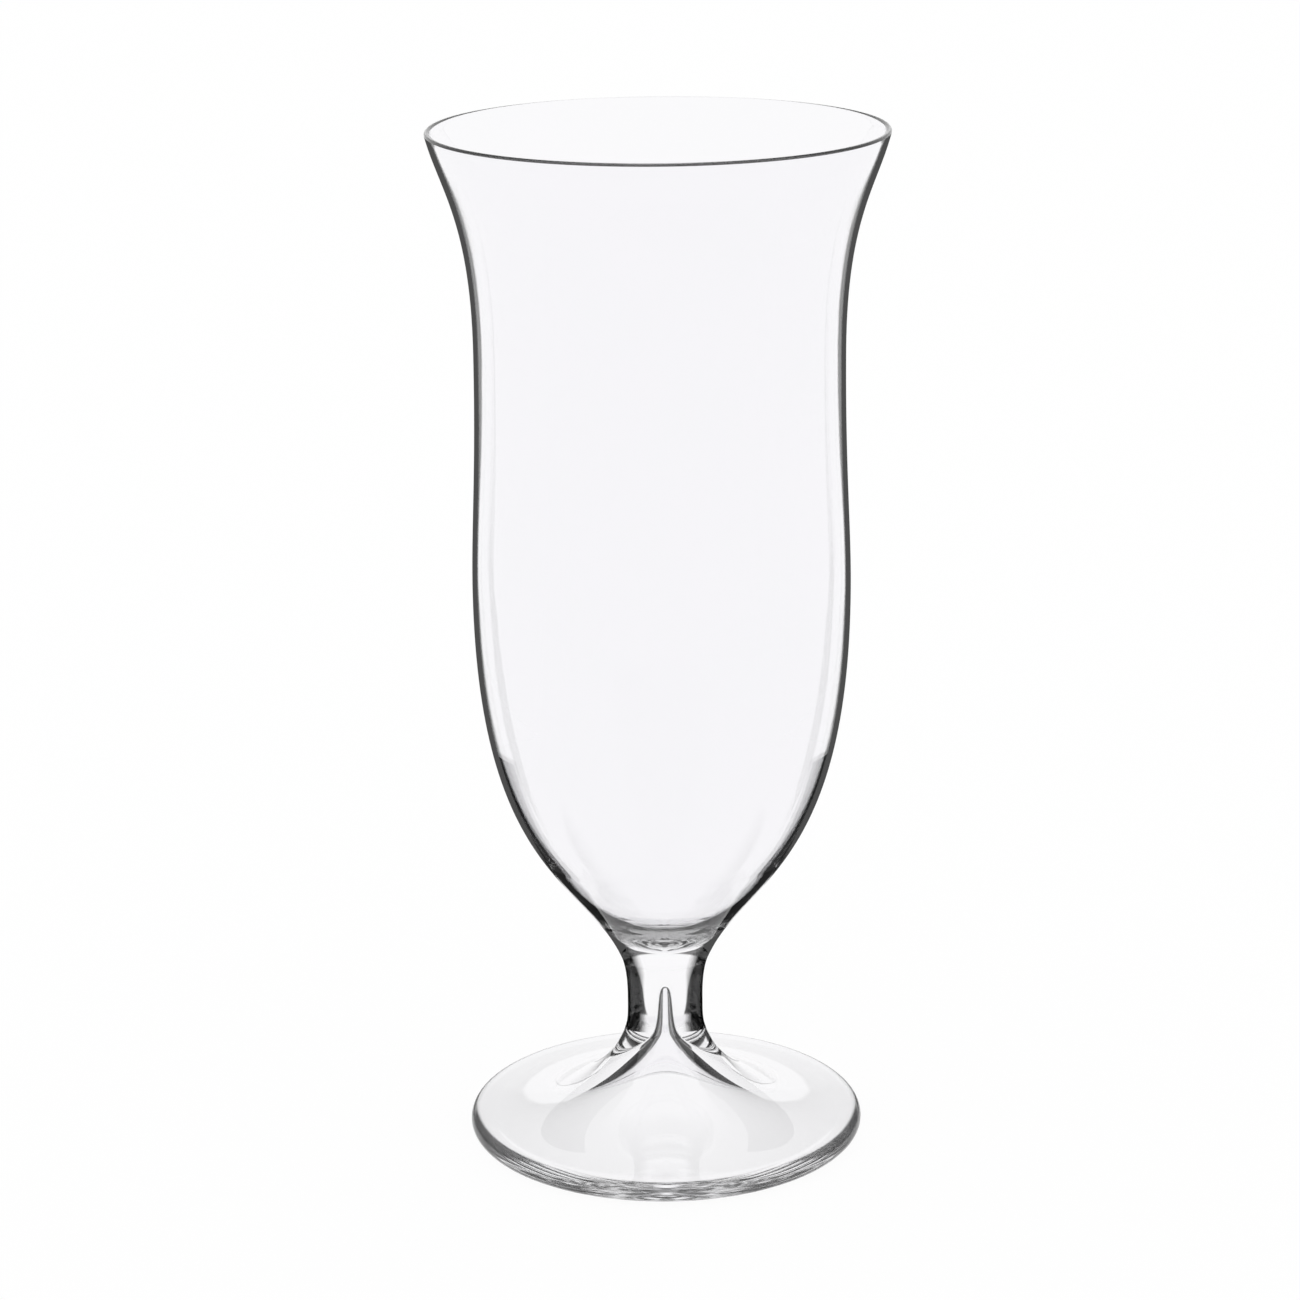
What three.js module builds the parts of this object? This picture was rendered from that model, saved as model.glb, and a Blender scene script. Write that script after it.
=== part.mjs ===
// A clear footed cocktail glass: a thin blown bowl, a short stem and a round foot, fused end to end.
// Millimetres, +Z up. The origin is the centre of the ring that the glass stands on.
import * as THREE from 'three';

// Heights of the three pieces, from the table up
const FOOT_HEIGHT = 18;
const STEM_HEIGHT = 17;
const BOWL_HEIGHT = 160;

// Outline of the bowl
const RIM_RADIUS = 42.3;
const RIM_FLARE_DEG = 14; // lean of the wall just under the rim
const RIM_REACH = 10; // how far the wall keeps that lean
const WAIST_RADIUS = 34.3;
const WAIST_DROP = 41; // rim to waist
const WAIST_REACH_UP = 25; // how far the wall stays upright above the waist
const WAIST_REACH_DOWN = 23;
const BELLY_RADIUS = 35.45;
const BELLY_RISE = 74; // upper seam to belly
const BELLY_REACH_UP = 12;
const BELLY_REACH_DOWN = 55;
const SWELL_REACH = 19.3; // how far the bowl follows the stem's lean above the upper seam

// Glass thickness of the bowl
const RIM_WALL = 1.0;
const WAIST_WALL = 1.4;
const BELLY_WALL = 0.95;
const HEEL_WALL = 1.4; // where the wall ends and the inside rounds to the bottom
const HEEL_RISE = 21.5; // upper seam to the heel, on the outside
const HEEL_REACH = 8.5; // how far the inside follows the wall below the heel
const FLOOR_THICKNESS = 4.1; // upper seam to the inside bottom
const FLOOR_REACH = 8.6; // how broad the inside bottom is

// Outline of the stem
const UPPER_SEAM_RADIUS = 8.4;
const UPPER_SEAM_DEG = 23; // lean of the outline where stem and bowl meet
const UPPER_SEAM_REACH = 2.2;
const NECK_RADIUS = 7.25;
const NECK_RISE = 9; // lower seam to the narrowest place
const NECK_REACH_UP = 2.6;
const NECK_REACH_DOWN = 5;
const LOWER_SEAM_RADIUS = 8.6;
const LOWER_SEAM_DEG = 25; // lean of the outline where stem and foot meet
const LOWER_SEAM_REACH = 3.4;

// Air spire that is drawn up from under the foot into the stem
const SPIRE_RADIUS = 2; // at the lower seam
const SPIRE_DEG = 25; // lean of its wall at the lower seam
const SPIRE_REACH = 4;
const SPIRE_RISE = 11.8; // lower seam to the tip
const SPIRE_TIP_REACH = 1.3;

// Outline of the foot
const FOOT_RADIUS = 38.1;
const EDGE_THICKNESS = 4;
const EDGE_SLOPE_DEG = 6; // slope of the foot's top where it meets the round edge
const EDGE_REACH = 18;
const FLARE_REACH = 8; // how far the foot follows the stem's lean below the lower seam
const RING_WIDTH = 2.6; // flat ring that the glass stands on
const HOLLOW_SLOPE_DEG = 3; // slope of the underside just inside the ring
const HOLLOW_REACH = 20;
const TRUMPET_REACH = 5; // how far the underside follows the spire's lean below the lower seam

// Facets
const TURN_STEPS = 48;
const LONG_STEPS = 14;
const MIDDLE_STEPS = 8;
const SHORT_STEPS = 6;

// A point of an outline
function at(radius, height) {
  return new THREE.Vector2(radius, height);
}

// A step of the given length, turned outwards from straight up
function lean(length, degrees) {
  const angle = THREE.MathUtils.degToRad(degrees);
  return at(length * Math.sin(angle), length * Math.cos(angle));
}

// A smooth curve from start to end, which leaves each end along its own step
function curve(start, startStep, end, endStep) {
  const startHandle = start.clone().add(startStep);
  const endHandle = end.clone().add(endStep);
  return new THREE.CubicBezierCurve(start, startHandle, endHandle, end);
}

function bend(start, startStep, end, endStep, steps) {
  return curve(start, startStep, end, endStep).getPoints(steps);
}

// An arc round a centre, between two angles in degrees
function arc(centre, radius, fromDegrees, toDegrees, steps) {
  const from = THREE.MathUtils.degToRad(fromDegrees);
  const to = THREE.MathUtils.degToRad(toDegrees);
  return new THREE.EllipseCurve(centre.x, centre.y, radius, radius, from, to).getPoints(steps);
}

// How far along a rising curve a height is reached, from 0 to 1
function shareAtHeight(rising, height) {
  let low = 0;
  let high = 1;
  for (let i = 0; i < 40; i += 1) {
    const middle = (low + high) / 2;
    if (rising.getPoint(middle).y < height) {
      low = middle;
    } else {
      high = middle;
    }
  }
  return low;
}

// A point of the inside, one wall thickness in from a curve of the outside
function inside(outside, share, wall) {
  const along = outside.getTangent(share);
  return outside.getPoint(share).add(at(-along.y, along.x).multiplyScalar(wall));
}

// The wall from the belly up to the rim, for the outside (inset 0) or the inside of the glass
function upperWall(rimInset, waistInset, bellyInset) {
  const belly = at(BELLY_RADIUS - bellyInset, BELLY_RISE);
  const waist = at(WAIST_RADIUS - waistInset, BOWL_HEIGHT - WAIST_DROP);
  const rim = at(RIM_RADIUS - rimInset, BOWL_HEIGHT - RIM_WALL / 2);
  const rimStep = lean(RIM_REACH, 180 + RIM_FLARE_DEG);
  return [
    ...bend(belly, lean(BELLY_REACH_UP, 0), waist, lean(WAIST_REACH_DOWN, 180), SHORT_STEPS),
    ...bend(waist, lean(WAIST_REACH_UP, 0), rim, rimStep, MIDDLE_STEPS),
  ];
}

// The inside of the bowl below the belly: along the wall to the heel, then round to the bottom
function innerBottom(swell) {
  const heelShare = shareAtHeight(swell, HEEL_RISE);
  const wall = [];
  for (let i = 0; i <= LONG_STEPS; i += 1) {
    const done = i / LONG_STEPS;
    const share = THREE.MathUtils.lerp(1, heelShare, done);
    wall.push(inside(swell, share, THREE.MathUtils.lerp(BELLY_WALL, HEEL_WALL, done)));
  }
  const heel = wall[wall.length - 1];
  const heelStep = swell.getTangent(heelShare).multiplyScalar(-HEEL_REACH);
  const floor = at(0, FLOOR_THICKNESS);
  return [...wall, ...bend(heel, heelStep, floor, lean(FLOOR_REACH, 90), MIDDLE_STEPS)];
}

// The bowl, up the outside, over the round lip and down the inside
function bowlOutline() {
  const seam = at(UPPER_SEAM_RADIUS, 0);
  const belly = at(BELLY_RADIUS, BELLY_RISE);
  const swell = curve(seam, lean(SWELL_REACH, UPPER_SEAM_DEG), belly, lean(BELLY_REACH_DOWN, 180));
  const lipCentre = at(RIM_RADIUS - RIM_WALL / 2, BOWL_HEIGHT - RIM_WALL / 2);
  return [
    at(0, 0),
    ...swell.getPoints(LONG_STEPS),
    ...upperWall(0, 0, 0),
    ...arc(lipCentre, RIM_WALL / 2, 0, 180, SHORT_STEPS),
    ...upperWall(RIM_WALL, WAIST_WALL, BELLY_WALL).reverse(),
    ...innerBottom(swell),
  ];
}

// The stem, down the air spire, across the lower seam and up the outside
function stemOutline() {
  const tip = at(0, SPIRE_RISE);
  const mouth = at(SPIRE_RADIUS, 0);
  const mouthStep = lean(SPIRE_REACH, -SPIRE_DEG);
  const lowerSeam = at(LOWER_SEAM_RADIUS, 0);
  const lowerStep = lean(LOWER_SEAM_REACH, -LOWER_SEAM_DEG);
  const neck = at(NECK_RADIUS, NECK_RISE);
  const upperSeam = at(UPPER_SEAM_RADIUS, STEM_HEIGHT);
  const upperStep = lean(UPPER_SEAM_REACH, 180 + UPPER_SEAM_DEG);
  return [
    ...bend(tip, lean(SPIRE_TIP_REACH, 90), mouth, mouthStep, MIDDLE_STEPS),
    ...bend(lowerSeam, lowerStep, neck, lean(NECK_REACH_DOWN, 180), SHORT_STEPS),
    ...bend(neck, lean(NECK_REACH_UP, 0), upperSeam, upperStep, SHORT_STEPS),
    at(0, STEM_HEIGHT),
  ];
}

// The foot, down its trumpet-shaped underside, across the ring, round the edge and up its top
function footOutline() {
  const mouth = at(SPIRE_RADIUS, FOOT_HEIGHT);
  const mouthStep = lean(TRUMPET_REACH, 180 - SPIRE_DEG);
  const edgeRadius = EDGE_THICKNESS / 2;
  const edgeCentre = at(FOOT_RADIUS - edgeRadius, edgeRadius);
  const ringInside = at(edgeCentre.x - RING_WIDTH, 0);
  const hollowStep = lean(HOLLOW_REACH, HOLLOW_SLOPE_DEG - 90);
  const edge = arc(edgeCentre, edgeRadius, -90, 90 - EDGE_SLOPE_DEG, MIDDLE_STEPS);
  const edgeTop = edge[edge.length - 1];
  const edgeStep = lean(EDGE_REACH, EDGE_SLOPE_DEG - 90);
  const seam = at(LOWER_SEAM_RADIUS, FOOT_HEIGHT);
  const flareStep = lean(FLARE_REACH, 180 - LOWER_SEAM_DEG);
  return [
    ...bend(mouth, mouthStep, ringInside, hollowStep, LONG_STEPS),
    ...edge,
    ...bend(edgeTop, edgeStep, seam, flareStep, LONG_STEPS),
    mouth.clone(),
  ];
}

// Outlines may repeat the point where two curves meet, and a turned surface needs it once
function withoutRepeats(outline) {
  return outline.filter((point, i) => i === 0 || point.distanceTo(outline[i - 1]) > 1e-6);
}

// Clear, faintly cool glass
function clearGlass() {
  return new THREE.MeshStandardMaterial({
    color: 0xf1f4f5, roughness: 0.03, metalness: 0, transparent: true, opacity: 0.35,
  });
}

// A piece turned about the upright axis, with its own lowest plane at the given height
function turnedPiece(name, outline, height) {
  const geometry = new THREE.LatheGeometry(withoutRepeats(outline), TURN_STEPS);
  geometry.rotateX(Math.PI / 2);
  const mesh = new THREE.Mesh(geometry, clearGlass());
  mesh.name = name;
  mesh.position.z = height;
  return mesh;
}

const glass = new THREE.Group();
glass.name = 'cocktail_glass';
glass.add(turnedPiece('foot', footOutline(), 0));
glass.add(turnedPiece('stem', stemOutline(), FOOT_HEIGHT));
glass.add(turnedPiece('bowl', bowlOutline(), FOOT_HEIGHT + STEM_HEIGHT));

export default glass;
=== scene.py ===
# A clear footed cocktail glass on a white sweep. Its three pieces are turned again here, with finer steps.
# Outlines are in millimetres. The stage, the camera and the finished meshes are in metres, +Z up.
import math

import bpy
from mathutils import Matrix, Vector


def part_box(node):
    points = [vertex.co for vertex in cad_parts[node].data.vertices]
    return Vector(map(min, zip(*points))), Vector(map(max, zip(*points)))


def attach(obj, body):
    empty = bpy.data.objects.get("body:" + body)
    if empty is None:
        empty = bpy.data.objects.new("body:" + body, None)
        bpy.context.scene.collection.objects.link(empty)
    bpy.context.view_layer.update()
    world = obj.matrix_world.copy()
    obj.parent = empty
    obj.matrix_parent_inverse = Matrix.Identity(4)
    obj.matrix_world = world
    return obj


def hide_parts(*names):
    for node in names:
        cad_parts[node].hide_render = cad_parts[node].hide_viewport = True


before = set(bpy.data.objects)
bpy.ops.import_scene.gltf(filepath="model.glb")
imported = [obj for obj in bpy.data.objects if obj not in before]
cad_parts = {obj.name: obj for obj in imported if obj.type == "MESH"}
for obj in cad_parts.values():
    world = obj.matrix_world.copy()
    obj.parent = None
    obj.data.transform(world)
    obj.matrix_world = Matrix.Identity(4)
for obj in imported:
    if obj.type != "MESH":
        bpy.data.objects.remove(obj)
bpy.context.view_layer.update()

MM = 0.001

# Main sizes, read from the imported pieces
foot_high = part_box("foot")[1]
stem_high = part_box("stem")[1]
bowl_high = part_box("bowl")[1]
LOWER_SEAM = foot_high[2] / MM
UPPER_SEAM = stem_high[2] / MM
TOP = bowl_high[2] / MM
FOOT_RADIUS = foot_high[0] / MM
RIM_RADIUS = bowl_high[0] / MM

# Outline of the bowl
RIM_FLARE_DEG = 14  # lean of the wall just under the rim
RIM_REACH = 10  # how far the wall keeps that lean
WAIST_RADIUS = 34.3
WAIST_DROP = 41  # rim to waist
WAIST_REACH_UP = 25  # how far the wall stays upright above the waist
WAIST_REACH_DOWN = 23
BELLY_RADIUS = 35.45
BELLY_RISE = 74  # upper seam to belly
BELLY_REACH_UP = 12
BELLY_REACH_DOWN = 55
SWELL_REACH = 19.3  # how far the bowl follows the stem's lean above the upper seam
# The outer part of the round lip is painted dark, a painted shade
LIP_SPLIT_DEG = 60  # how far up the round lip its dark outer part reaches

# Glass thickness of the bowl
RIM_WALL = 1.0
WAIST_WALL = 1.4
BELLY_WALL = 0.95
HEEL_WALL = 1.4  # where the wall ends and the inside rounds to the bottom
HEEL_RISE = 21.5  # upper seam to the heel, on the outside
HEEL_REACH = 8.5  # how far the inside follows the wall below the heel
FLOOR_THICKNESS = 4.1  # upper seam to the inside bottom
FLOOR_REACH = 8.6  # how broad the inside bottom is

# Outline of the stem
UPPER_SEAM_RADIUS = 8.4
UPPER_SEAM_DEG = 23  # lean of the outline where stem and bowl meet
UPPER_SEAM_REACH = 2.2
NECK_RADIUS = 7.25
NECK_RISE = 9  # lower seam to the narrowest place
NECK_REACH_UP = 2.6
NECK_REACH_DOWN = 5
LOWER_SEAM_RADIUS = 8.6
LOWER_SEAM_DEG = 25  # lean of the outline where stem and foot meet
LOWER_SEAM_REACH = 3.4

# Air spire that is drawn up from under the foot into the stem
SPIRE_RADIUS = 2  # at the lower seam
SPIRE_DEG = 25  # lean of its wall at the lower seam
SPIRE_REACH = 4
SPIRE_RISE = 11.8  # lower seam to the tip
SPIRE_TIP_REACH = 1.3

# Outline of the foot
EDGE_THICKNESS = 4
EDGE_SLOPE_DEG = 6  # slope of the foot's top where it meets the round edge
EDGE_REACH = 18
FLARE_REACH = 8  # how far the foot follows the stem's lean below the lower seam
RING_WIDTH = 2.6  # flat ring that the glass stands on
HOLLOW_SLOPE_DEG = 3  # slope of the underside just inside the ring
HOLLOW_REACH = 20
TRUMPET_REACH = 5  # how far the underside follows the spire's lean below the lower seam

# The fused faces stand a hair apart, so that they don't lie in one another
SEAM_GAP = 0.01

# Steps of the turned surfaces
TURN_STEPS = 240
LONG_STEPS = 60
MIDDLE_STEPS = 30
SHORT_STEPS = 16
HALVINGS = 40  # of the search for a height on a curve
SAME_POINT = 1e-5  # points of an outline that lie closer are one point
SHARP_DEG = 40  # surfaces that meet at more than this keep a sharp corner

# Clear glass
GLASS_COLOUR = (0.967, 0.96, 0.976)
GLASS_IOR = 1.5
STRAIGHT_IOR = 1.0  # light passes straight on
SMOOTH = 0
STEM_ROUGHNESS = 0.1
EDGE_ROUGHNESS = 0.15

# Marks of the making, sizes in millimetres: slow waves, fine drawn rings, a change of tint, soft spots
WAVE_SIZE = 7
WAVE_DEPTH = 0.008
RING_SIZE = 1.1
RING_DEPTH = 0.003
RING_STRETCH = 12
TINT_COLOUR = (0.957, 0.957, 0.968)
TINT_SIZE = 25
NOISE_DETAIL = 1
SOFT_FROM = 0.55
SOFT_TO = 0.8
SOFT_ROUGHNESS = 0.012

# Painted dim inner reflections, a grey mirror in place of the real ones: how much light they keep, and
# where in millimetres the dimming sets in
CRITICAL_FACING = 0.255  # beyond it light inside the glass is thrown back at the surface
CRITICAL_SOFTNESS = 0.005
WALL_LIGHT = 0.08
WALL_DIM_FROM = 55  # height above the table
WALL_DIM_TO = 70
BOTTOM_LIGHT = 0.15
BOTTOM_DIM_FROM = 5  # distance from the axis
BOTTOM_DIM_TO = 15
SPIRE_LIGHT = 0.15
EDGE_LIGHT = 0.4

# Painted dark edges, which stand in for the dark parts of the room seen through the glass: height in
# millimetres and facing from which the glass is painted dark, from the bottom up
STEM_EDGES = [(18, 1.0), (19.5, 1.0), (21.5, 0.12), (24, 0.19), (35, 0.3)]
BOWL_EDGES = [(35, 0.3), (39, 0.45), (44, 1.0), (50, 1.0), (60, 0.74), (195, 0.76)]
EDGE_SOFTNESS = 0.04
STEM_EDGE_PAINTED_SHADE = 0.007
BOWL_EDGE_PAINTED_SHADE = 0.075
LIP_PAINTED_SHADE = 0.01
ROUND_FULL = 0.35  # the edges are fully dark while the round is turned away less than this
ROUND_NONE = 0.55  # and clear from here on

# The white sweep and the boards around it, with +Y pointing away from the camera
FLOOR = [(-6, -6), (6, -6), (6, 6), (-6, 6)]
FLOOR_HEIGHT = -0.0004
PAPER_WHITE = 0.95
PAPER_GLOW = 0.95  # share of pure white in the paper that is seen
BOARD_DARK = 0.045
BOARD_DEG = 31.7  # how far to the side of straight behind the boards begin
BOARD_REACH = 3
BOARD_SPREAD = BOARD_REACH * math.tan(math.radians(BOARD_DEG))
BOARD_HEIGHT = -0.0002
NEAR_BOARD = [  # corners of the board on the right
    (0.0145, 0.0435), (BOARD_SPREAD, 3.02), (BOARD_REACH, 3.02),
    (BOARD_REACH, 1.4), (0.043, 0.02), (0.031, 0.031),
]
SHELF_HEIGHT = 0.065
SHELF_START = 0.05
SHELF_END_DEG = 110
SHELF_STEPS = 24

# The white room and its ceiling, which is dark ahead of the camera
CEILING_LOW_DEG = 17.7  # up from level, where it starts to darken
CEILING_HIGH_DEG = 19.5
CEILING_DARKNESS = 0.9
MIRRORED_DARKNESS = 0.15  # share of it that plain reflections see
AHEAD_FROM = 0.2  # cosine of the angle from straight ahead, where it starts to darken
AHEAD_TO = 0.5

# The photograph's camera, beside the upright axis of the glass
CAMERA_AZIMUTH_DEG = 225
CAMERA_BACK = 0.6468
CAMERA_HEIGHT = 0.2885
CAMERA_LEFT = 0.0023
CAMERA_DOWN_DEG = 16.532
CAMERA_ROLL_DEG = -0.55
CAMERA_LENS_SHARE = 2.751  # focal length over picture width
SENSOR_MM = 36
BOUNCES = 32

turn_to_camera = Matrix.Rotation(math.radians(CAMERA_AZIMUTH_DEG), 4, "Z")


# A point of an outline: radius and height
def at(radius, height):
    return Vector((radius, height))


# A step of the given length, turned outwards from straight up
def lean(length, degrees):
    angle = math.radians(degrees)
    return at(length * math.sin(angle), length * math.cos(angle))


# A smooth curve, as its four control points, which leaves each end along its own step
def curve(start, start_step, end, end_step):
    return start, start + start_step, end + end_step, end


def point_on(controls, share):
    a, b, c, d = controls
    rest = 1 - share
    return rest ** 3 * a + 3 * rest ** 2 * share * b + 3 * rest * share ** 2 * c + share ** 3 * d


def direction_on(controls, share):
    a, b, c, d = controls
    rest = 1 - share
    return (rest ** 2 * (b - a) + 2 * rest * share * (c - b) + share ** 2 * (d - c)).normalized()


def points_on(controls, steps):
    return [point_on(controls, i / steps) for i in range(steps + 1)]


def bend(start, start_step, end, end_step, steps):
    return points_on(curve(start, start_step, end, end_step), steps)


# Even steps from one angle to another
def turns_between(from_degrees, to_degrees, steps):
    return [from_degrees + (to_degrees - from_degrees) * i / steps for i in range(steps + 1)]


def arc(centre, radius, from_degrees, to_degrees, steps):
    return [centre + lean(radius, 90 - turn) for turn in turns_between(from_degrees, to_degrees, steps)]


# How far along a rising curve a height is reached, from 0 to 1
def share_at_height(rising, height):
    low = 0
    high = 1
    for i in range(HALVINGS):
        middle = (low + high) / 2
        if point_on(rising, middle).y < height:
            low = middle
        else:
            high = middle
    return low


# The wall from the belly up to the rim, for the outside (inset 0) or the inside of the glass
def upper_wall(rim_inset, waist_inset, belly_inset):
    belly = at(BELLY_RADIUS - belly_inset, UPPER_SEAM + BELLY_RISE)
    waist = at(WAIST_RADIUS - waist_inset, TOP - WAIST_DROP)
    rim = at(RIM_RADIUS - rim_inset, TOP - RIM_WALL / 2)
    rim_step = lean(RIM_REACH, 180 + RIM_FLARE_DEG)
    return [
        *bend(belly, lean(BELLY_REACH_UP, 0), waist, lean(WAIST_REACH_DOWN, 180), MIDDLE_STEPS),
        *bend(waist, lean(WAIST_REACH_UP, 0), rim, rim_step, MIDDLE_STEPS),
    ]


# The inside below the belly: along the wall to the heel, then round to the bottom
def inner_bottom(swell):
    heel_share = share_at_height(swell, UPPER_SEAM + HEEL_RISE)
    wall = []
    for i in range(LONG_STEPS + 1):
        done = i / LONG_STEPS
        share = 1 + (heel_share - 1) * done
        along = direction_on(swell, share)
        thickness = BELLY_WALL + (HEEL_WALL - BELLY_WALL) * done
        wall.append(point_on(swell, share) + thickness * at(-along.y, along.x))
    heel_step = -HEEL_REACH * direction_on(swell, heel_share)
    floor = at(0, UPPER_SEAM + FLOOR_THICKNESS)
    return wall, bend(wall[-1], heel_step, floor, lean(FLOOR_REACH, 90), MIDDLE_STEPS)


# The three outlines, each a list of stretches that can have their own materials
def bowl_outline():
    seam = at(UPPER_SEAM_RADIUS, UPPER_SEAM)
    belly = at(BELLY_RADIUS, UPPER_SEAM + BELLY_RISE)
    swell = curve(seam, lean(SWELL_REACH, UPPER_SEAM_DEG), belly, lean(BELLY_REACH_DOWN, 180))
    lip_centre = at(RIM_RADIUS - RIM_WALL / 2, TOP - RIM_WALL / 2)
    cap = [at(0, UPPER_SEAM), seam]
    outside = [*points_on(swell, LONG_STEPS), *upper_wall(0, 0, 0)]
    outer_lip = arc(lip_centre, RIM_WALL / 2, 0, LIP_SPLIT_DEG, SHORT_STEPS)
    inner_lip = arc(lip_centre, RIM_WALL / 2, LIP_SPLIT_DEG, 180, SHORT_STEPS)
    lower_wall, bottom = inner_bottom(swell)
    inside = [*reversed(upper_wall(RIM_WALL, WAIST_WALL, BELLY_WALL)), *lower_wall]
    return [cap, outside, outer_lip, inner_lip, inside, bottom]


def stem_outline():
    tip = at(0, LOWER_SEAM + SPIRE_RISE)
    mouth = at(SPIRE_RADIUS, LOWER_SEAM)
    lower = at(LOWER_SEAM_RADIUS, LOWER_SEAM)
    neck = at(NECK_RADIUS, LOWER_SEAM + NECK_RISE)
    upper = at(UPPER_SEAM_RADIUS, UPPER_SEAM - SEAM_GAP)
    spire = bend(tip, lean(SPIRE_TIP_REACH, 90), mouth, lean(SPIRE_REACH, -SPIRE_DEG), MIDDLE_STEPS)
    lower_step = lean(LOWER_SEAM_REACH, -LOWER_SEAM_DEG)
    upper_step = lean(UPPER_SEAM_REACH, 180 + UPPER_SEAM_DEG)
    side = [
        *bend(lower, lower_step, neck, lean(NECK_REACH_DOWN, 180), MIDDLE_STEPS),
        *bend(neck, lean(NECK_REACH_UP, 0), upper, upper_step, MIDDLE_STEPS),
    ]
    return [spire, [mouth, lower], side, [upper, at(0, UPPER_SEAM - SEAM_GAP)]]


def foot_outline():
    mouth = at(SPIRE_RADIUS, LOWER_SEAM - SEAM_GAP)
    edge_radius = EDGE_THICKNESS / 2
    edge_centre = at(FOOT_RADIUS - edge_radius, edge_radius)
    ring_inside = at(edge_centre.x - RING_WIDTH, 0)
    edge = arc(edge_centre, edge_radius, -90, 90 - EDGE_SLOPE_DEG, MIDDLE_STEPS)
    seam = at(LOWER_SEAM_RADIUS, LOWER_SEAM - SEAM_GAP)
    trumpet_step = lean(TRUMPET_REACH, 180 - SPIRE_DEG)
    hollow_step = lean(HOLLOW_REACH, HOLLOW_SLOPE_DEG - 90)
    edge_step = lean(EDGE_REACH, EDGE_SLOPE_DEG - 90)
    flare_step = lean(FLARE_REACH, 180 - LOWER_SEAM_DEG)
    hollow = bend(mouth, trumpet_step, ring_inside, hollow_step, LONG_STEPS)
    top = bend(edge[-1], edge_step, seam, flare_step, LONG_STEPS)
    return [hollow, edge, top, [seam, mouth]]


# The points of an outline without repeats, the stretch of each step, and whether the outline is closed
def joined(stretches):
    points = []
    step_stretches = []
    for number, stretch in enumerate(stretches):
        for point in stretch:
            if points and (point - points[-1]).length < SAME_POINT:
                continue
            if points:
                step_stretches.append(number)
            points.append(point)
    closed = (points[0] - points[-1]).length < SAME_POINT
    if closed:
        points.pop()
    return points, step_stretches, closed


# A ring of corners for each point of an outline. A point on the axis is one corner, used all round.
def turned_rings(points):
    corners = []
    rings = []
    for point in points:
        first = len(corners)
        if point.x < SAME_POINT:
            corners.append((0, 0, point.y * MM))
            rings.append([first] * TURN_STEPS)
            continue
        for i in range(TURN_STEPS):
            turn = 2 * math.pi * i / TURN_STEPS
            corners.append((point.x * MM * math.cos(turn), point.x * MM * math.sin(turn), point.y * MM))
        rings.append(list(range(first, first + TURN_STEPS)))
    return corners, rings


# A closed piece turned about the upright axis, with a material for each stretch of its outline
def turned_piece(name, stretches, materials):
    points, step_stretches, closed = joined(stretches)
    corners, rings = turned_rings(points)
    next_rings = rings[1:] + rings[:1] if closed else rings[1:]
    faces = []
    face_materials = []
    for ring, next_ring, number in zip(rings, next_rings, step_stretches):
        for i in range(TURN_STEPS):
            j = (i + 1) % TURN_STEPS
            faces.append(list(dict.fromkeys([ring[i], ring[j], next_ring[j], next_ring[i]])))
            face_materials.append(materials[number])

    mesh = bpy.data.meshes.new(name)
    mesh.from_pydata(corners, [], faces)
    used = list(dict.fromkeys(materials))
    for material in used:
        mesh.materials.append(material)
    for face, material in zip(mesh.polygons, face_materials):
        face.use_smooth = True
        face.material_index = used.index(material)
    mesh.set_sharp_from_angle(angle=math.radians(SHARP_DEG))
    piece = bpy.data.objects.new(name, mesh)
    bpy.context.scene.collection.objects.link(piece)
    return piece


# Nodes that several materials use
def new_tree(data):
    data.use_nodes = True
    data.node_tree.nodes.clear()
    return data.node_tree


def new_material(name):
    material = bpy.data.materials.new(name)
    return material, new_tree(material)


# A number is set on the socket, and anything else is linked to it
def link(tree, value, target):
    if isinstance(value, (int, float)):
        target.default_value = value
    else:
        tree.links.new(value, target)


def math_node(tree, operation, first, second):
    node = tree.nodes.new("ShaderNodeMath")
    node.operation = operation
    link(tree, first, node.inputs[0])
    link(tree, second, node.inputs[1])
    return node.outputs[0]


def vector_node(tree, operation, first, second=(0, 0, 0)):
    node = tree.nodes.new("ShaderNodeVectorMath")
    node.operation = operation
    tree.links.new(first, node.inputs[0])
    node.inputs[1].default_value = second
    return node


# A value that changes evenly while another one goes from start to end
def ramp(tree, value, start, end, at_start, at_end):
    node = tree.nodes.new("ShaderNodeMapRange")
    tree.links.new(value, node.inputs["Value"])
    names = ("From Min", "From Max", "To Min", "To Max")
    for name, number in zip(names, (start, end, at_start, at_end)):
        node.inputs[name].default_value = number
    return node.outputs[0]


def mixed(tree, share, first, second):
    mix = tree.nodes.new("ShaderNodeMixShader")
    tree.links.new(share, mix.inputs["Fac"])
    tree.links.new(first.outputs[0], mix.inputs[1])
    tree.links.new(second.outputs[0], mix.inputs[2])
    return mix


def give_output(tree, shader, kind="ShaderNodeOutputMaterial"):
    output = tree.nodes.new(kind)
    tree.links.new(shader.outputs[0], output.inputs["Surface"])


def grey(level):
    return (level, level, level)


# Places on the glass, and the ways it is seen
def place(tree):
    return tree.nodes.new("ShaderNodeTexCoord").outputs["Object"]


def height_above_table(tree):
    axes = tree.nodes.new("ShaderNodeSeparateXYZ")
    tree.links.new(place(tree), axes.inputs[0])
    return axes.outputs["Z"]


def distance_from_axis(tree):
    level = vector_node(tree, "MULTIPLY", place(tree), (1, 1, 0))
    return vector_node(tree, "LENGTH", level.outputs[0]).outputs["Value"]


# One where a surface is seen from its back: from inside the glass, or from under a shelf
def back_side(tree):
    return tree.nodes.new("ShaderNodeNewGeometry").outputs["Backfacing"]


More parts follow.
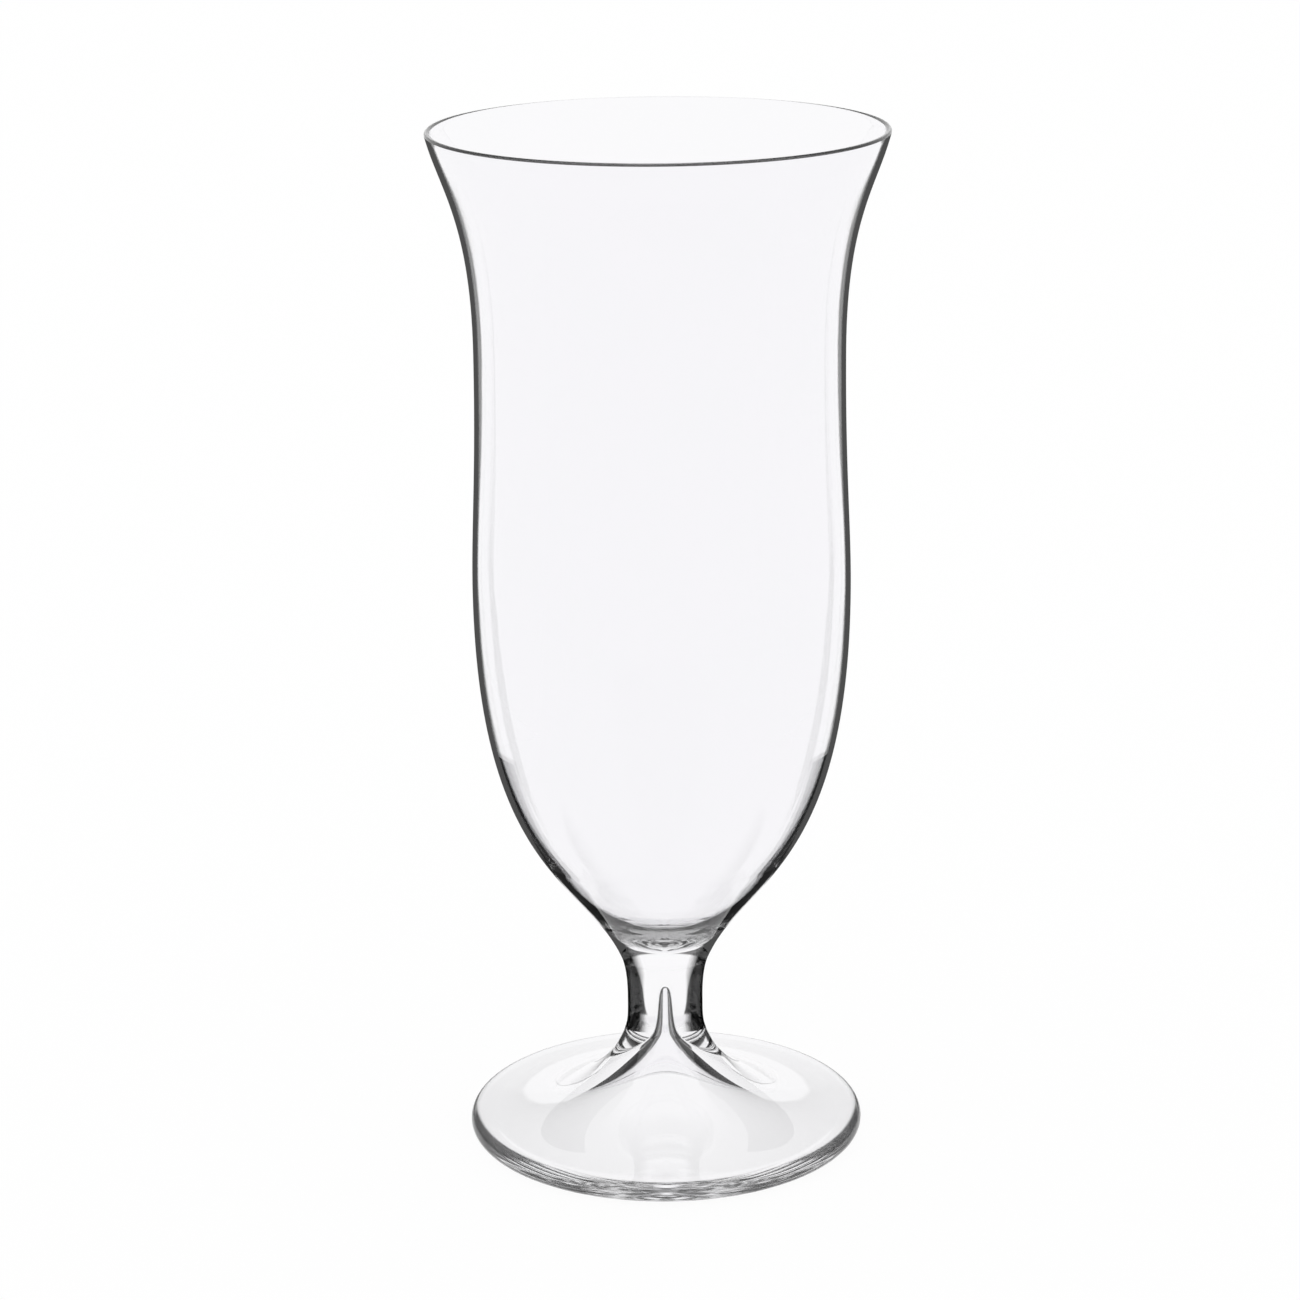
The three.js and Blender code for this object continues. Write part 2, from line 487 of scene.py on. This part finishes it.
# How far the surface, or a given direction, is turned away from the line of sight, from 0 to 1
def facing(tree, direction=None):
    layer = tree.nodes.new("ShaderNodeLayerWeight")
    if direction is not None:
        tree.links.new(direction, layer.inputs["Normal"])
    return layer.outputs["Facing"]


# One where the glass is seen along its round, falling to none where it is seen from steeply above
def seen_along_round(tree):
    along = vector_node(tree, "CROSS_PRODUCT", place(tree), (0, 0, 1))
    unit = vector_node(tree, "NORMALIZE", along.outputs[0])
    return ramp(tree, facing(tree, unit.outputs[0]), ROUND_FULL, ROUND_NONE, 1, 0)


# Noise in the glass, with features of the given size in millimetres, drawn out level by the given stretch
def noise(tree, size, stretch=1):
    mapping = tree.nodes.new("ShaderNodeMapping")
    mapping.inputs["Scale"].default_value = (1 / stretch, 1 / stretch, 1)
    texture = tree.nodes.new("ShaderNodeTexNoise")
    texture.inputs["Scale"].default_value = 1 / (size * MM)
    texture.inputs["Detail"].default_value = NOISE_DETAIL
    tree.links.new(place(tree), mapping.inputs["Vector"])
    tree.links.new(mapping.outputs[0], texture.inputs["Vector"])
    return texture.outputs["Fac"]


def bumped(tree, height, depth, normal=None):
    bump = tree.nodes.new("ShaderNodeBump")
    bump.inputs["Distance"].default_value = depth * MM
    tree.links.new(height, bump.inputs["Height"])
    if normal is not None:
        tree.links.new(normal, bump.inputs["Normal"])
    return bump.outputs["Normal"]


def glass_shader(tree, colour, ior):
    shader = tree.nodes.new("ShaderNodeBsdfPrincipled")
    shader.inputs["Base Color"].default_value = (*colour, 1)
    shader.inputs["Roughness"].default_value = SMOOTH
    shader.inputs["Transmission Weight"].default_value = 1
    shader.inputs["IOR"].default_value = ior
    return shader


# Clear glass with the marks of its making
def clear_shader(tree, roughness):
    shader = glass_shader(tree, GLASS_COLOUR, GLASS_IOR)
    waves = bumped(tree, noise(tree, WAVE_SIZE), WAVE_DEPTH)
    rings = bumped(tree, noise(tree, RING_SIZE, RING_STRETCH), RING_DEPTH, waves)
    spots = noise(tree, TINT_SIZE)
    tint = tree.nodes.new("ShaderNodeMix")
    tint.data_type = "RGBA"
    tint.inputs["A"].default_value = (*GLASS_COLOUR, 1)
    tint.inputs["B"].default_value = (*TINT_COLOUR, 1)
    tree.links.new(spots, tint.inputs["Factor"])
    soft = ramp(tree, spots, SOFT_FROM, SOFT_TO, roughness, roughness + SOFT_ROUGHNESS)
    tree.links.new(tint.outputs["Result"], shader.inputs["Base Color"])
    tree.links.new(soft, shader.inputs["Roughness"])
    tree.links.new(rings, shader.inputs["Normal"])
    return shader


def clear_glass(name):
    material, tree = new_material(name)
    give_output(tree, clear_shader(tree, SMOOTH))
    return material


# Where the inner reflections are painted dim
def above_heel(tree):
    return ramp(tree, height_above_table(tree), WALL_DIM_FROM * MM, WALL_DIM_TO * MM, 0, 1)


def beside_axis(tree):
    return ramp(tree, distance_from_axis(tree), BOTTOM_DIM_FROM * MM, BOTTOM_DIM_TO * MM, 0, 1)


def everywhere(tree):
    return 1


# Glass whose inner reflections are painted dim with a grey mirror, a painted reflection that stands in for
# the dark parts of the room
def painted_dim_reflection_glass(name, light, roughness, where):
    material, tree = new_material(name)
    clear = clear_shader(tree, roughness)
    mirror = tree.nodes.new("ShaderNodeBsdfPrincipled")
    mirror.inputs["Base Color"].default_value = (*grey(light), 1)
    mirror.inputs["Metallic"].default_value = 1
    mirror.inputs["Roughness"].default_value = roughness
    thrown_back = ramp(tree, facing(tree), CRITICAL_FACING - CRITICAL_SOFTNESS, CRITICAL_FACING, 0, 1)
    share = math_node(tree, "MULTIPLY", thrown_back, back_side(tree))
    share = math_node(tree, "MULTIPLY", share, where(tree))
    give_output(tree, mixed(tree, share, clear, mirror))
    return material


# Glass painted dark where it is seen along its wall, from a limit of facing that changes with the height.
# This painted shade stands in for the dark room seen through the glass.
def painted_dark_edge_glass(name, limits, darkness, roughness, only_from_outside):
    material, tree = new_material(name)
    clear = clear_shader(tree, roughness)
    dark = glass_shader(tree, grey(darkness), STRAIGHT_IOR)
    height = height_above_table(tree)
    limit = limits[0][1]
    for (low, limit_low), (high, limit_high) in zip(limits, limits[1:]):
        change = ramp(tree, height, low * MM, high * MM, 0, limit_high - limit_low)
        limit = math_node(tree, "ADD", limit, change)
    beyond = math_node(tree, "SUBTRACT", facing(tree), limit)
    share = ramp(tree, beyond, 0, EDGE_SOFTNESS, 0, 1)
    share = math_node(tree, "MULTIPLY", share, seen_along_round(tree))
    if only_from_outside:
        outside = math_node(tree, "SUBTRACT", 1, back_side(tree))
        share = math_node(tree, "MULTIPLY", share, outside)
    give_output(tree, mixed(tree, share, clear, dark))
    return material


# Glass painted dark where it is seen from outside: painted shade along the thin lip
def painted_dark_lip_glass(name):
    material, tree = new_material(name)
    clear = clear_shader(tree, SMOOTH)
    dark = glass_shader(tree, grey(LIP_PAINTED_SHADE), GLASS_IOR)
    give_output(tree, mixed(tree, back_side(tree), dark, clear))
    return material


# Fused seams let light pass straight on
def fused_seam(name):
    material, tree = new_material(name)
    give_output(tree, glass_shader(tree, grey(1), STRAIGHT_IOR))
    return material


# A level sheet of the stage, with its top side up
def stage_sheet(name, outline, height, material):
    mesh = bpy.data.meshes.new(name)
    mesh.from_pydata([(x, y, height) for x, y in outline], [], [list(range(len(outline)))])
    mesh.materials.append(material)
    if mesh.polygons[0].normal.z < 0:
        mesh.flip_normals()
    sheet = bpy.data.objects.new(name, mesh)
    sheet.matrix_world = turn_to_camera
    bpy.context.scene.collection.objects.link(sheet)
    return sheet


# White paper that is nearly pure white where it is seen, with a faint shadow of the glass
def floor_paper(name):
    material, tree = new_material(name)
    path = tree.nodes.new("ShaderNodeLightPath").outputs
    share = math_node(tree, "MAXIMUM", path["Is Glossy Ray"], path["Is Transmission Ray"])
    share = math_node(tree, "MAXIMUM", share, path["Is Camera Ray"])
    share = math_node(tree, "MULTIPLY", share, PAPER_GLOW)
    paper = tree.nodes.new("ShaderNodeBsdfDiffuse")
    paper.inputs["Color"].default_value = (*grey(PAPER_WHITE), 1)
    glow = tree.nodes.new("ShaderNodeEmission")
    give_output(tree, mixed(tree, share, paper, glow))
    return material


def dark_paint(name):
    material, tree = new_material(name)
    glow = tree.nodes.new("ShaderNodeEmission")
    glow.inputs["Strength"].default_value = BOARD_DARK
    give_output(tree, glow)
    return material


# White above and dark below
def shelf_paint(name):
    material, tree = new_material(name)
    glow = tree.nodes.new("ShaderNodeEmission")
    tree.links.new(ramp(tree, back_side(tree), 0, 1, 1, BOARD_DARK), glow.inputs["Strength"])
    give_output(tree, glow)
    return material


# Part of a flat ring round the glass, between two angles from straight behind it
def ring_part(from_degrees, to_degrees, near, far):
    turns = [math.radians(turn) for turn in turns_between(from_degrees, to_degrees, SHELF_STEPS)]
    inner = [(near * math.sin(turn), near * math.cos(turn)) for turn in turns]
    outer = [(far * math.sin(turn), far * math.cos(turn)) for turn in reversed(turns)]
    return inner + outer


def only_seen_in_glass(board):
    board.visible_camera = False
    board.visible_diffuse = False
    board.visible_shadow = False


# Soft light from a white room. Ahead, its ceiling is dark through the glass and pale in plain reflections.
def studio_room(name):
    world = bpy.data.worlds.new(name)
    tree = new_tree(world)
    direction = tree.nodes.new("ShaderNodeTexCoord").outputs["Generated"]
    axes = tree.nodes.new("ShaderNodeSeparateXYZ")
    tree.links.new(direction, axes.inputs[0])
    low = math.sin(math.radians(CEILING_LOW_DEG))
    high = math.sin(math.radians(CEILING_HIGH_DEG))
    darkening = ramp(tree, axes.outputs["Z"], low, high, 0, -CEILING_DARKNESS)
    away = turn_to_camera.to_3x3() @ Vector((0, 1, 0))
    ahead = vector_node(tree, "DOT_PRODUCT", direction, away).outputs["Value"]
    darkening = math_node(tree, "MULTIPLY", darkening, ramp(tree, ahead, AHEAD_FROM, AHEAD_TO, 0, 1))
    path = tree.nodes.new("ShaderNodeLightPath").outputs
    share = math_node(tree, "MULTIPLY", path["Is Glossy Ray"], MIRRORED_DARKNESS)
    share = math_node(tree, "MAXIMUM", share, path["Is Transmission Ray"])
    darkening = math_node(tree, "MULTIPLY", darkening, share)
    background = tree.nodes.new("ShaderNodeBackground")
    background.inputs["Color"].default_value = (*grey(1), 1)
    tree.links.new(math_node(tree, "ADD", darkening, 1), background.inputs["Strength"])
    give_output(tree, background, "ShaderNodeOutputWorld")
    return world


def photo_camera(name):
    camera = bpy.data.cameras.new(name)
    camera.sensor_width = SENSOR_MM
    camera.lens = CAMERA_LENS_SHARE * SENSOR_MM
    eye = bpy.data.objects.new(name, camera)
    tilt = Matrix.Rotation(math.radians(90 - CAMERA_DOWN_DEG), 4, "X")
    roll = Matrix.Rotation(math.radians(CAMERA_ROLL_DEG), 4, "Z")
    stand = Matrix.Translation((-CAMERA_LEFT, -CAMERA_BACK, CAMERA_HEIGHT))
    eye.matrix_world = turn_to_camera @ stand @ tilt @ roll
    bpy.context.scene.collection.objects.link(eye)
    return eye


# The glass, with painted dark edges and painted dim inner reflections
seam = fused_seam("fused_seam")
bowl_inner = painted_dim_reflection_glass("bowl_glass", WALL_LIGHT, SMOOTH, above_heel)
bowl_bottom = painted_dim_reflection_glass("bowl_bottom_glass", BOTTOM_LIGHT, SMOOTH, beside_axis)
bowl_outer = painted_dark_edge_glass("bowl_outer_glass", BOWL_EDGES, BOWL_EDGE_PAINTED_SHADE, SMOOTH, only_from_outside=False)
bowl_lip = painted_dark_lip_glass("bowl_lip_glass")
stem_spire = painted_dim_reflection_glass("stem_spire_glass", SPIRE_LIGHT, SMOOTH, everywhere)
stem_side = painted_dark_edge_glass("stem_glass", STEM_EDGES, STEM_EDGE_PAINTED_SHADE, STEM_ROUGHNESS, only_from_outside=True)
foot_clear = clear_glass("foot_glass")
foot_edge = painted_dim_reflection_glass("foot_edge_glass", EDGE_LIGHT, EDGE_ROUGHNESS, everywhere)

bowl_materials = [seam, bowl_outer, bowl_lip, bowl_inner, bowl_inner, bowl_bottom]
stem_materials = [stem_spire, seam, stem_side, seam]
foot_materials = [foot_clear, foot_edge, foot_clear, seam]
pieces = {
    "bowl": turned_piece("bowl_blown", bowl_outline(), bowl_materials),
    "stem": turned_piece("stem_drawn", stem_outline(), stem_materials),
    "foot": turned_piece("foot_pressed", foot_outline(), foot_materials),
}
for node, piece in pieces.items():
    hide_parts(node)
    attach(piece, "root")

# The sweep, with a dark board on the floor and a shelf on each side of the glass
stage_sheet("floor", FLOOR, FLOOR_HEIGHT, floor_paper("floor_paper"))
near_board_paint = dark_paint("dark_board")
shelf_board_paint = shelf_paint("shelf_board")
for side, mark in ((-1, "left"), (1, "right")):
    near_corners = [(side * x, y) for x, y in NEAR_BOARD]
    shelf_corners = ring_part(side * BOARD_DEG, side * SHELF_END_DEG, SHELF_START, BOARD_REACH)
    only_seen_in_glass(stage_sheet("near_board_" + mark, near_corners, BOARD_HEIGHT, near_board_paint))
    only_seen_in_glass(stage_sheet("shelf_" + mark, shelf_corners, SHELF_HEIGHT, shelf_board_paint))

# Room, camera and the depth of the reflections
scene = bpy.context.scene
scene.world = studio_room("studio")
scene.camera = photo_camera("camera")
scene.view_settings.view_transform = "Standard"
scene.cycles.max_bounces = BOUNCES
scene.cycles.transmission_bounces = BOUNCES
scene.cycles.glossy_bounces = BOUNCES
